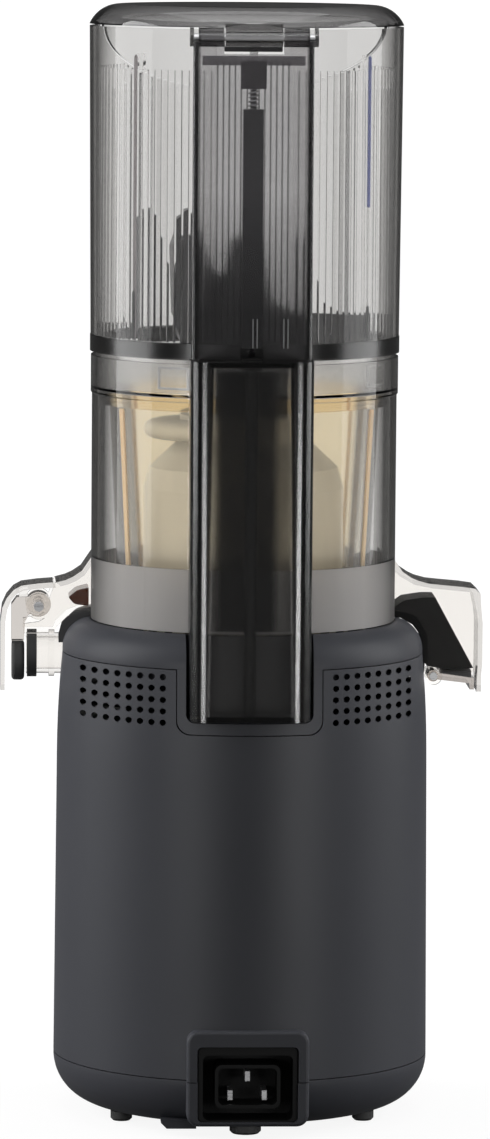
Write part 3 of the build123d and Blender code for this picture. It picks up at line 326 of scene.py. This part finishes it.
# ---------------------------------------------------------------------------------------------
# The control dial in front: a silver painted knob with a raised grip bar, in a black bezel. Its
# spindle turns a switch inside the housing.
# ---------------------------------------------------------------------------------------------
silver = moulded("silver_dial", (0.42, 0.43, 0.45), roughness=0.3, grain=2200.0)
finish(silver, "control_dial")
finish(black, "dial_bezel", "dial_switch")

# ---------------------------------------------------------------------------------------------
# The drive inside the base: a motor with its fan, two gear stages in a case of filled nylon, a
# steel drive shaft in a bronze bush, and the control board. The case hangs from a plate on posts.
# ---------------------------------------------------------------------------------------------
finish(steel, "motor_can", "stator", "rotor", "rotor_shaft", "motor_bearings", "idler_shaft",
       "idler_gear", "output_gear", "drive_shaft")
finish(black, "cooling_fan", "interlock_switch")
bronze = metal("sintered_bronze", (0.5, 0.32, 0.14), roughness=0.42, stretch=8)
finish(bronze, "drive_bush")
filled = moulded("glass_filled_nylon", (0.22, 0.22, 0.225), roughness=0.5)
finish(filled, "gearbox_case", "gearbox_lid", "chassis_plate")
board = moulded("solder_resist", (0.01, 0.09, 0.03), roughness=0.3, grain=500.0)
finish(board, "control_board")

# ---------------------------------------------------------------------------------------------
# The chamber: a clear bowl with a frosted sleeve round its foot and a smoked box handle behind it.
# A curved plate closes the handle towards the bowl. Its middle is darkened with a painted shadow of
# the black push rod inside the handle, and a rubber seal lies round the drive shaft.
# ---------------------------------------------------------------------------------------------
FLOW_SCALE = 45.0
RIPPLE_DEPTH = 0.0002
SHADOW_FILM = (0.97, 0.97, 0.97, 1)

flow_lines, given, result = shader_group(
    "flow_lines", [("Scale", "NodeSocketFloat", FLOW_SCALE)], [("Height", "NodeSocketFloat")])
where = node(flow_lines, "ShaderNodeTexCoord").outputs["Object"]
waves = node(flow_lines, "ShaderNodeTexNoise", Vector=where, Scale=given["Scale"], Detail=1.0)
wire(flow_lines, result["Height"], waves.outputs["Fac"])


def shade(material, factor):
    """Scales a material's base colour by a factor: in a clear one, what each face lets through."""
    tree = material.node_tree
    tint = tree.nodes["Principled BSDF"].inputs["Base Color"]
    darker = node(tree, "ShaderNodeVectorMath")
    darker.operation = "SCALE"
    wire(tree, darker.inputs["Scale"], factor)
    unshaded = tint.links[0].from_socket if tint.links else Vector(tint.default_value[:3])
    wire(tree, darker.inputs[0], unshaded)
    wire(tree, tint, darker.outputs[0])


def facing(tree):
    """How far the surface turns away from the eye: 0 face on, 1 edge on."""
    return node(tree, "ShaderNodeLayerWeight", Blend=0.5).outputs["Facing"]


def clear(name, passed, density, roughness=0.02, ior=1.46, ripple=0.06, rim=0.12, rim_start=0.55,
          rim_end=0.95, face=(1, 1, 1)):
    """Clear or smoked plastic, darker where it is thicker: passed is the colour that it lets through,
    rim how much light a wall seen edge on lets through, and face the colour that each face does."""
    material = bpy.data.materials.new(name)
    material.use_nodes = True
    tree = material.node_tree
    shader = tree.nodes["Principled BSDF"]
    shader.inputs["Roughness"].default_value = roughness
    shader.inputs["IOR"].default_value = ior
    shader.inputs["Transmission Weight"].default_value = 1.0
    shader.inputs["Base Color"].default_value = (*face, 1)
    shade(material, fade(tree, facing(tree), rim_start, rim_end, 1.0, rim))
    flow = tree.nodes.new("ShaderNodeGroup")
    flow.node_tree = flow_lines
    bump = node(tree, "ShaderNodeBump", Strength=ripple, Distance=RIPPLE_DEPTH,
                Height=flow.outputs["Height"])
    wire(tree, shader.inputs["Normal"], bump.outputs["Normal"])
    film = node(tree, "ShaderNodeBsdfTransparent", Color=SHADOW_FILM)
    rays = node(tree, "ShaderNodeLightPath").outputs
    mix = node(tree, "ShaderNodeMixShader", Fac=rays["Is Shadow Ray"])
    wire(tree, mix.inputs[1], shader.outputs[0])
    wire(tree, mix.inputs[2], film.outputs[0])
    out = tree.nodes["Material Output"]
    wire(tree, out.inputs["Surface"], mix.outputs[0])
    if density > 0:
        depth = node(tree, "ShaderNodeVolumeAbsorption", Color=(*passed, 1), Density=density)
        wire(tree, out.inputs["Volume"], depth.outputs[0])
    return material


def piece_on(body, made):
    """Fixes an added piece to a body."""
    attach(made, body)


def curved_wall(name, inner, outer, bearing, half_bearing, low, high, material):
    """A closed piece of a round wall. Its bearing is in degrees from the back, towards +X."""
    steps = max(2, round(half_bearing))
    mesh = bmesh.new()
    rows = []
    for step in range(steps + 1):
        angle = radians(bearing + half_bearing * (2 * step / steps - 1))
        rows.append([mesh.verts.new((radius * sin(angle), -radius * cos(angle), height))
                     for radius, height in ((inner, low), (outer, low), (outer, high), (inner, high))])
    for one, other in zip(rows, rows[1:]):
        for corner in range(4):
            after = (corner + 1) % 4
            mesh.faces.new((one[corner], one[after], other[after], other[corner]))
    mesh.faces.new(rows[0])
    mesh.faces.new(list(reversed(rows[-1])))
    bmesh.ops.recalc_face_normals(mesh, faces=mesh.faces)
    return new_object(name, mesh, material)


bowl_clear = clear("chamber_copolyester", (0.08, 0.05, 0.0), density=80, ior=1.22, rim=0.01,
                   rim_start=0.42, rim_end=0.72)
finish(bowl_clear, "chamber_bowl")
SLEEVE_EDGE_STARTS = 0.40
SLEEVE_EDGE_ENDS = 0.78
SLEEVE_EDGE_SHADE = 0.16
frosted = moulded("frosted_sleeve", (0.64, 0.62, 0.605), roughness=0.55, specular=0.3, passed=0.72)
tree = frosted.node_tree
shade(frosted, fade(tree, facing(tree), SLEEVE_EDGE_STARTS, SLEEVE_EDGE_ENDS, 1.0, SLEEVE_EDGE_SHADE))
finish(frosted, "chamber_skirt")
finish(rubber, "shaft_seal")
handle_smoke = clear("handle_copolyester", (0.05, 0.04, 0.03), density=430, roughness=0.17, ior=1.4,
                     rim=0.3, ripple=0.0)
finish(handle_smoke, "chamber_handle")
acetal = moulded("black_acetal", (0.005, 0.005, 0.005), roughness=0.6, specular=0.2)
finish(acetal, "interlock_rod")

PLATE_INNER = 0.06395
PLATE_OUTER = 0.06450
PLATE_HALF_BEARING = 16.0
PLATE_LOW = 0.2080
PLATE_HIGH = 0.3140
# Painted shadow of the push rod: the plate's colour is darker within SHADOW_HALF of ROD_SHADOW_X.
ROD_SHADOW_X = -0.0015
SHADOW_HALF = 0.0100
SHADOW_END = 0.0135
IN_SHADOW = 0.10
BESIDE_SHADOW = 0.80
plate_smoke = clear("handle_plate_smoke", (0.1, 0.08, 0.06), density=60, ior=1.2, rim=1.0)
tree = plate_smoke.node_tree
from_shadow = maths(tree, "ABSOLUTE", maths(tree, "SUBTRACT", place_of(tree)["X"], ROD_SHADOW_X))
shade(plate_smoke, fade(tree, from_shadow, SHADOW_HALF, SHADOW_END, IN_SHADOW, BESIDE_SHADOW))
handle_plate = curved_wall("handle_plate", PLATE_INNER, PLATE_OUTER, 0, PLATE_HALF_BEARING, PLATE_LOW,
                           PLATE_HIGH, plate_smoke)
piece_on("chamber", handle_plate)

# ---------------------------------------------------------------------------------------------
# The strainer: an amber cone that hangs in the bowl from a deeper coloured rim ring. Two upright
# gold ribs stiffen it on each side; their bright gold is partly a painted highlight along the cone's
# edges.
# ---------------------------------------------------------------------------------------------
CONE_TOP = 0.2960
RING_FOOT = 0.2975
CONE_TINT = (0.975, 0.905, 0.755)
RING_TINT = (0.92, 0.74, 0.46)
amber = clear("amber_strainer", (1, 1, 1), density=0, roughness=0.06, ior=1.42, rim=0.03,
              rim_start=0.51, rim_end=0.63)
tree = amber.node_tree
from_cone_to_ring = fade(tree, place_of(tree)["Z"], CONE_TOP, RING_FOOT, 0.0, 1.0)
rim_shade = tree.nodes["Principled BSDF"].inputs["Base Color"].links[0].from_node
wire(tree, rim_shade.inputs[0], between(tree, from_cone_to_ring, CONE_TINT, RING_TINT))
finish(amber, "strainer")

RIB_BEARINGS = (-115.5, -64.5, 64.5, 115.5)
RIB_HALF_BEARING = 1.9
RIB_ENDS = ((0.2070, 0.0516), (CONE_TOP, 0.0560))
RIB_DEPTH = 0.0008
RIB_ROUNDING = 0.00025
BOX_FACES = ((0, 1, 2, 3), (4, 5, 6, 7), (0, 1, 5, 4), (1, 2, 6, 5), (2, 3, 7, 6), (3, 0, 4, 7))
# The ribs' bright gold is partly their own colour and partly a painted highlight along the cone's edges.
gold_with_highlight = moulded("gold_rib", (0.86, 0.60, 0.28), roughness=0.30, passed=0.5)
for place, bearing in enumerate(RIB_BEARINGS):
    mesh = bmesh.new()
    corners = []
    for height, radius in RIB_ENDS:
        for outwards, side in ((0, -1), (RIB_DEPTH, -1), (RIB_DEPTH, 1), (0, 1)):
            angle = radians(bearing + side * RIB_HALF_BEARING)
            corners.append(mesh.verts.new((
                (radius + outwards) * sin(angle), -(radius + outwards) * cos(angle), height)))
    for face in BOX_FACES:
        mesh.faces.new([corners[corner] for corner in face])
    bmesh.ops.recalc_face_normals(mesh, faces=mesh.faces)
    bmesh.ops.bevel(mesh, geom=mesh.edges, offset=RIB_ROUNDING, segments=2, affect="EDGES")
    piece_on("chamber", new_object(f"strainer_rib_{place + 1}", mesh, gold_with_highlight))

# ---------------------------------------------------------------------------------------------
# The auger: a beige screw moulded in filled resin over a nylon core with the drive socket, and a
# dark cutting wing on top. The screw's last turn sweeps round its neck and thins away at both ends.
# ---------------------------------------------------------------------------------------------
auger_resin = moulded("auger_resin", (0.47, 0.465, 0.455), roughness=0.5)
finish(auger_resin, "auger")
finish(filled, "auger_core")

TURN_START = -160
TURN_END = 5
TURN_STEPS = 56
TURN_ROOT = 0.0245
TURN_REACH = 0.0410
TURN_OVERLAP = 0.0005
TURN_HEIGHT = 0.2862
TURN_RISE = 0.0014
TURN_HALF = 0.0042
TURN_TIP = 0.02
SWELL_RATE = 2.4
SECTION_POINTS = 20
SECTION_POWER_OUT = 0.7
SECTION_POWER_UP = 0.8


def squared(value, power):
    """A sine or cosine pushed outwards, for a rounded square section."""
    return abs(value) ** power * (1 if value >= 0 else -1)


mesh = bmesh.new()
rows = []
for step in range(TURN_STEPS + 1):
    along = step / TURN_STEPS
    angle = radians(TURN_START + (TURN_END - TURN_START) * along)
    swell = min(1.0, SWELL_RATE * sin(pi * along)) ** 0.5 if 0 < along < 1 else TURN_TIP
    reach = (TURN_REACH - TURN_ROOT) * swell / 2
    height = TURN_HEIGHT + TURN_RISE * (2 * along - 1)
    rows.append([])
    for point in range(SECTION_POINTS):
        around = 2 * pi * point / SECTION_POINTS
        radius = TURN_ROOT + reach + (reach + TURN_OVERLAP) * squared(cos(around), SECTION_POWER_OUT)
        rows[-1].append(mesh.verts.new((
            radius * sin(angle), -radius * cos(angle),
            height + TURN_HALF * squared(sin(around), SECTION_POWER_UP))))
for one, other in zip(rows, rows[1:]):
    for point in range(SECTION_POINTS):
        after = (point + 1) % SECTION_POINTS
        mesh.faces.new((one[point], one[after], other[after], other[point]))
mesh.faces.new(rows[0])
mesh.faces.new(list(reversed(rows[-1])))
bmesh.ops.recalc_face_normals(mesh, faces=mesh.faces)
for face in mesh.faces:
    face.smooth = True
piece_on("auger", new_object("auger_top_turn", mesh, auger_resin))
wing = moulded("wing_resin", (0.022, 0.022, 0.025), roughness=0.35)
finish(wing, "cutting_wing")

# ---------------------------------------------------------------------------------------------
# The spouts: clear hoods and cheeks over the juice tube on the left and the black pulp nozzle on
# the right, with a cap and a lever on steel pins. Rubber seals close them, and an amber resin
# wedge lies in the root of the juice tube.
# ---------------------------------------------------------------------------------------------
outlet_clear = clear("outlet_copolyester", (0.10, 0.06, 0.02), density=14, ior=1.15, rim=0.02,
                     rim_start=0.5, rim_end=0.85, face=(0.915, 0.90, 0.88))
finish(outlet_clear, "juice_spout", "juice_hood", "juice_cap", "pulp_hood")
arm_clear = clear("cap_arm_copolyester", (0.12, 0.06, 0.02), density=30, ior=1.3, rim=0.08,
                  rim_start=0.5, face=(0.74, 0.71, 0.68))
finish(arm_clear, "cap_arm", "pulp_lever")
finish(inlet_black, "pulp_chute")
finish(black, "spout_saddle")
finish(rubber, "spout_ring", "cap_seal", "lever_seal")
finish(steel, "spout_pins")

SPOUT_LINE = 0.018
THROAT_HALF = 0.0085
THROAT_OUTLINE = (
    (-0.0640, 0.2104), (-0.0640, 0.2182), (-0.0690, 0.2170), (-0.0725, 0.2140), (-0.0700, 0.2112))
THROAT_ROUNDING = 0.0004


def extruded(name, outline, low_y, high_y, material, rounding):
    """A side profile in X and Z, drawn out along Y with rounded edges."""
    mesh = bmesh.new()
    near = [mesh.verts.new((x, low_y, z)) for x, z in outline]
    far = [mesh.verts.new((x, high_y, z)) for x, z in outline]
    mesh.faces.new(near)
    mesh.faces.new(list(reversed(far)))
    for step in range(len(outline)):
        after = (step + 1) % len(outline)
        mesh.faces.new((near[after], near[step], far[step], far[after]))
    bmesh.ops.recalc_face_normals(mesh, faces=mesh.faces)
    bmesh.ops.bevel(mesh, geom=mesh.edges, offset=rounding, segments=3, affect="EDGES",
                    clamp_overlap=True)
    return new_object(name, mesh, material)


throat_resin = clear("throat_resin", (0.55, 0.35, 0.20), density=420, roughness=0.12, ior=1.3, rim=0.3)
juice_throat = extruded("juice_throat", THROAT_OUTLINE, SPOUT_LINE - THROAT_HALF,
                        SPOUT_LINE + THROAT_HALF, throat_resin, THROAT_ROUNDING)
piece_on("chamber", juice_throat)

# ---------------------------------------------------------------------------------------------
# The hopper: a clear shell with a fluted liner. Two slim tinted ribs stand up the liner's inside,
# a pale one on the left and a blue one on the right, each with a short dark foot.
# ---------------------------------------------------------------------------------------------
hopper_clear = clear("hopper_copolyester", (0.06, 0.04, 0.01), density=120, ior=1.22, rim=0.02,
                     rim_start=0.48, rim_end=0.80)
finish(hopper_clear, "hopper_shell")
liner_clear = clear("liner_copolyester", (0.10, 0.06, 0.0), density=15, ior=1.40, rim=0.15,
                    rim_start=0.6)
finish(liner_clear, "hopper_liner")

LINER_LOW = 0.3262
GUIDE_HIGH = 0.4420
GUIDE_Y = -0.0400
GUIDE_HALF = 0.0007
GUIDE_HALF_DEPTH = 0.0008
GUIDE_TIP = 0.001
GUIDE_ROUNDING = 0.0002
for name, x, low, high, colour in (
        ("left_guide_rib", -0.0465, LINER_LOW, GUIDE_HIGH, (0.30, 0.26, 0.27)),
        ("right_guide_rib", 0.0480, 0.3800, GUIDE_HIGH, (0.10, 0.13, 0.42)),
        ("right_guide_foot", 0.0480, LINER_LOW, 0.3400, (0.03, 0.03, 0.03)),
        ("left_guide_foot", -0.0468, LINER_LOW, 0.3460, (0.05, 0.05, 0.045))):
    outline = [(x - GUIDE_HALF, low), (x + GUIDE_HALF, low), (x + GUIDE_HALF, high - GUIDE_TIP),
               (x, high), (x - GUIDE_HALF, high - GUIDE_TIP)]
    rib = extruded(name, outline, GUIDE_Y - GUIDE_HALF_DEPTH, GUIDE_Y + GUIDE_HALF_DEPTH,
                   moulded(name, colour, roughness=0.3, passed=0.4), GUIDE_ROUNDING)
    piece_on("hopper", rib)

# ---------------------------------------------------------------------------------------------
# The interlock channel up the hopper's back: a smoked column, darker at its sides and its foot,
# over a fluted wall, with two pairs of pale strips near its foot, painted highlights for two narrow
# slots. The smoked plunger slides in a black guide inside it, and a steel spring lifts the plunger
# when the lid opens.
# ---------------------------------------------------------------------------------------------
COLUMN_SIDE_STARTS = 0.0212
COLUMN_SIDE_ENDS = 0.0220
COLUMN_SIDE_SHADE = 0.40
COLUMN_CLEAR_ABOVE = 0.3880
COLUMN_DARK_BELOW = 0.3380
COLUMN_FOOT_SHADE = 0.45
column_smoke = clear("column_smoke", (0.06, 0.04, 0.06), density=420, roughness=0.20, rim=0.25)
tree = column_smoke.node_tree
spot = place_of(tree)
from_middle = maths(tree, "ABSOLUTE", spot["X"])
side = fade(tree, from_middle, COLUMN_SIDE_STARTS, COLUMN_SIDE_ENDS, 1.0, COLUMN_SIDE_SHADE)
foot = fade(tree, spot["Z"], COLUMN_CLEAR_ABOVE, COLUMN_DARK_BELOW, 1.0, COLUMN_FOOT_SHADE)
shade(column_smoke, side)
shade(column_smoke, foot)
finish(column_smoke, "rear_column")
plunger_smoke = clear("plunger_smoke", (0.09, 0.06, 0.10), density=800, ior=1.3, rim=0.5)
finish(plunger_smoke, "interlock_plunger")
finish(black, "plunger_tube")
finish(steel, "plunger_spring")


def geometry_tree(name, inputs):
    """An empty Geometry Nodes tree with named inputs: (name, kind, value)."""
    tree = bpy.data.node_groups.new(name, "GeometryNodeTree")
    for label, kind, value in inputs:
        socket = tree.interface.new_socket(label, in_out="INPUT", socket_type=kind)
        if value is not None:
            socket.default_value = value
    tree.interface.new_socket("Geometry", in_out="OUTPUT", socket_type="NodeSocketGeometry")
    return tree, tree.nodes.new("NodeGroupInput").outputs, tree.nodes.new("NodeGroupOutput").inputs[0]


def grown(name, tree, **values):
    """Runs a Geometry Nodes tree with these inputs and keeps its result as a plain mesh."""
    host = bpy.data.objects.new("host", bpy.data.meshes.new("host"))
    bpy.context.scene.collection.objects.link(host)
    growth = host.modifiers.new("growth", "NODES")
    growth.node_group = tree
    for socket in tree.interface.items_tree:
        if socket.in_out == "INPUT":
            growth[socket.identifier] = values[socket.name]
    graph = bpy.context.evaluated_depsgraph_get()
    data = bpy.data.meshes.new_from_object(host.evaluated_get(graph), depsgraph=graph)
    host.modifiers.remove(growth)
    bpy.data.objects.remove(host)
    data.name = name
    made = bpy.data.objects.new(name, data)
    bpy.context.scene.collection.objects.link(made)
    return made


strip_row, given, result = geometry_tree("strip_row", [
    ("Count", "NodeSocketInt", 13),
    ("Start", "NodeSocketVector", (0, 0, 0)),
    ("Pitch", "NodeSocketVector", (0.002, 0, 0)),
    ("Size", "NodeSocketVector", (0.001, 0.001, 0.1)),
    ("Material", "NodeSocketMaterial", None)])
row = node(strip_row, "GeometryNodeMeshLine", Count=given["Count"], Start_Location=given["Start"],
           Offset=given["Pitch"]).outputs[0]
strip = node(strip_row, "GeometryNodeMeshCube", Size=given["Size"]).outputs[0]
strips = node(strip_row, "GeometryNodeInstanceOnPoints", Points=row, Instance=strip).outputs[0]
whole = node(strip_row, "GeometryNodeRealizeInstances", Geometry=strips).outputs[0]
wire(strip_row, result,
     node(strip_row, "GeometryNodeSetMaterial", Geometry=whole, Material=given["Material"]).outputs[0])

FLUTE_COUNT = 13
FLUTE_PITCH = 0.0024
FLUTE_Y = -0.0597
FLUTE_HIGH = 0.4400
flute_smoke = moulded("flute_smoke", (0.10, 0.095, 0.095), roughness=0.35)
flutes = grown("channel_flutes", strip_row, Count=FLUTE_COUNT, Pitch=(FLUTE_PITCH, 0, 0),
               Start=(-FLUTE_PITCH * (FLUTE_COUNT - 1) / 2, FLUTE_Y, (LINER_LOW + FLUTE_HIGH) / 2),
               Size=(0.0005, 0.0004, FLUTE_HIGH - LINER_LOW), Material=flute_smoke)
piece_on("hopper", flutes)

# Two pairs of pale strips near the column's foot: painted highlights along the edges of two slots.
SLOT_WIDTH = 0.0017
SLOT_Y = -0.0680
SLOT_MIDDLE = 0.3300
SLOT_EDGE = (0.00045, 0.0003, 0.0118)
slot_highlight = moulded("slot_edge_highlights", (0.34, 0.34, 0.35), roughness=0.3)
for name, x in (("left_slot_edges", 0.0003), ("right_slot_edges", 0.0128)):
    edges = grown(name, strip_row, Count=2, Pitch=(SLOT_WIDTH, 0, 0), Start=(x, SLOT_Y, SLOT_MIDDLE),
                  Size=SLOT_EDGE, Material=slot_highlight)
    piece_on("hopper", edges)

# ---------------------------------------------------------------------------------------------
# The collar at the hopper's foot: a smoked ring that drops into the bowl's rim, with a black band
# above the rim. Two small pale frames on it, where it locks, are painted glints along its lugs' edges.
# ---------------------------------------------------------------------------------------------
COLLAR_CLEAR_BELOW = 0.3180
COLLAR_DARK_ABOVE = 0.3186
COLLAR_SHADE = 0.10
ring_smoke = clear("collar_smoke", (0.08, 0.06, 0.03), density=210, roughness=0.22, rim=0.3)
tree = ring_smoke.node_tree
height = place_of(tree)["Z"]
shade(ring_smoke, fade(tree, height, COLLAR_CLEAR_BELOW, COLLAR_DARK_ABOVE, 1.0, COLLAR_SHADE))
finish(ring_smoke, "bayonet_ring")

INSIDE_COLLAR = 0.0589
BAND_OUTER = 0.0594
BAND_LOW = 0.3188
BAND_HIGH = 0.3244
ALMOST_HALF_ROUND = 179.9
band = curved_wall("collar_band", INSIDE_COLLAR, BAND_OUTER, 180, ALMOST_HALF_ROUND, BAND_LOW, BAND_HIGH,
                   inlet_black)
piece_on("hopper", band)

LUG_BEARINGS = (("left", -31.4), ("right", 60.0))
LUG_OUTER = 0.05955
LUG_LOW = 0.3058
LUG_HIGH = 0.3150
LUG_HALF = 6.4
LUG_BAR = 0.0008
LUG_END_HALF = 0.4
# The frames' pale colour is a painted glint along the edges of the locking lugs.
lug_glint = moulded("lug_edge_glint", (0.62, 0.62, 0.64), roughness=0.4)
for side, bearing in LUG_BEARINGS:
    for part, turned, half, low, high in (
            ("foot", bearing, LUG_HALF, LUG_LOW, LUG_LOW + LUG_BAR),
            ("top", bearing, LUG_HALF, LUG_HIGH - LUG_BAR, LUG_HIGH),
            ("near_end", bearing - LUG_HALF, LUG_END_HALF, LUG_LOW, LUG_HIGH),
            ("far_end", bearing + LUG_HALF, LUG_END_HALF, LUG_LOW, LUG_HIGH)):
        bar = curved_wall(f"{side}_lug_{part}", INSIDE_COLLAR, LUG_OUTER, turned, half, low, high,
                          lug_glint)
        piece_on("hopper", bar)

# ---------------------------------------------------------------------------------------------
# The hinge and the lid: a smoked domed lid with a rib under it that presses the plunger, and a
# clear front apron. It turns on a steel pin between two smoked caps, over a dark sill.
# ---------------------------------------------------------------------------------------------
SILL_OUTLINE = ((-0.0118, 0.4437), (0.0118, 0.4437), (0.0118, 0.4479), (-0.0118, 0.4479))
SILL_BACK = -0.0617
SILL_FRONT = -0.0613
SILL_ROUNDING = 0.0004
hinge_sill = extruded("hinge_sill", SILL_OUTLINE, SILL_BACK, SILL_FRONT,
                      moulded("sill_smoke", (0.035, 0.035, 0.038), roughness=0.3), SILL_ROUNDING)
piece_on("hopper", hinge_sill)
finish(steel, "hinge_pin")
lid_smoke = clear("lid_smoke", (0.04, 0.03, 0.03), density=300, rim=0.25, ripple=0.01)
finish(lid_smoke, "lid", "hinge_caps")
finish(hopper_clear, "lid_visor")
